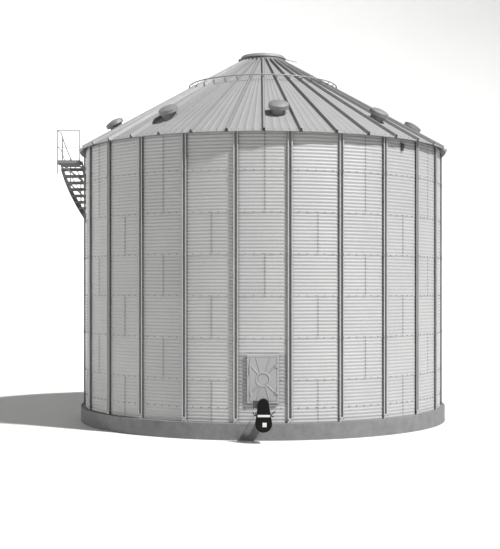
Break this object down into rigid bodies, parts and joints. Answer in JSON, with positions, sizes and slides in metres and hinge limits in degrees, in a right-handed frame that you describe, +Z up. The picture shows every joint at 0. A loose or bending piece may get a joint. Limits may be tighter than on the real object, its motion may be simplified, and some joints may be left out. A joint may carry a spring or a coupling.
{
  "type": "grain silo",
  "caption": "Round corrugated steel grain bin on a concrete base, with outside stiffeners, ribbed cone roof with vents, winding stair, walk-in door, lidded peak and unloading auger.",
  "frame": {"origin": "centre of the underside of the concrete base, on the bin's axis, at ground level", "axes": "+Z up along the bin's axis, -Y towards the front with the walk-in door, the stair's landing towards -X"},
  "size_m": [12.1248, 12.7351, 11.335],
  "materials": {
    "galvanised_sheet": "hot-dip galvanised, satin with faint spangle",
    "galvanised_section": "hot-dip galvanised, dull",
    "door_steel": "galvanised and pressed, satin",
    "auger_steel": "galvanised tube, dull",
    "black_paint": "semi-gloss black paint",
    "grey_paint": "grey machine enamel",
    "concrete": "cast concrete, fine-rough"
  },
  "bodies": {
    "bin": {"auger_tube": "auger_steel", "belt_guard": "black_paint", "door_frame": "door_steel", "drive_motor": "grey_paint", "eave_ring": "galvanised_section", "foundation": "concrete", "peak_collar": "galvanised_section", "roof": "galvanised_sheet", "roof_vent_1": "galvanised_sheet", "roof_vent_2": "galvanised_sheet", "roof_vent_3": "galvanised_sheet", "roof_vent_4": "galvanised_sheet", "roof_vent_5": "galvanised_sheet", "roof_vent_6": "galvanised_sheet", "roof_vent_7": "galvanised_sheet", "roof_vent_8": "galvanised_sheet", "roof_vent_9": "galvanised_sheet", "safety_ring": "galvanised_section", "stair_flight_1": "galvanised_section", "stair_flight_2": "galvanised_section", "stair_flight_3": "galvanised_section", "stair_flight_4": "galvanised_section", "stair_handrail_1": "galvanised_section", "stair_handrail_2": "galvanised_section", "stair_handrail_3": "galvanised_section", "stair_handrail_4": "galvanised_section", "stair_landing": "galvanised_section", "stiffener_01": "galvanised_section", "stiffener_02": "galvanised_section", "stiffener_03": "galvanised_section", "stiffener_04": "galvanised_section", "stiffener_05": "galvanised_section", "stiffener_06": "galvanised_section", "stiffener_07": "galvanised_section", "stiffener_08": "galvanised_section", "stiffener_09": "galvanised_section", "stiffener_10": "galvanised_section", "stiffener_11": "galvanised_section", "stiffener_12": "galvanised_section", "stiffener_13": "galvanised_section", "stiffener_14": "galvanised_section", "stiffener_15": "galvanised_section", "stiffener_16": "galvanised_section", "stiffener_17": "galvanised_section", "stiffener_18": "galvanised_section", "stiffener_19": "galvanised_section", "stiffener_20": "galvanised_section", "stiffener_21": "galvanised_section", "stiffener_22": "galvanised_section", "stiffener_23": "galvanised_section", "stiffener_24": "galvanised_section", "wall_tier_1": "galvanised_sheet", "wall_tier_2": "galvanised_sheet", "wall_tier_3": "galvanised_sheet", "wall_tier_4": "galvanised_sheet", "wall_tier_5": "galvanised_sheet", "wall_tier_6": "galvanised_sheet", "wall_tier_7": "galvanised_sheet"},
    "door": {"walk_in_door": "door_steel"},
    "lid": {"peak_lid": "galvanised_sheet"}
  },
  "joints": [
    {"name": "door_hinge", "type": "hinge", "parent": "bin", "child": "door", "pos_m": [0.385, -5.55, 1.6], "axis": [0, 0, 1], "range_deg": [0, 45]},
    {"name": "lid_hinge", "type": "hinge", "parent": "bin", "child": "lid", "pos_m": [-0.745, 0, 11.186], "axis": [0, -1, 0], "range_deg": [0, 85]}
  ]
}
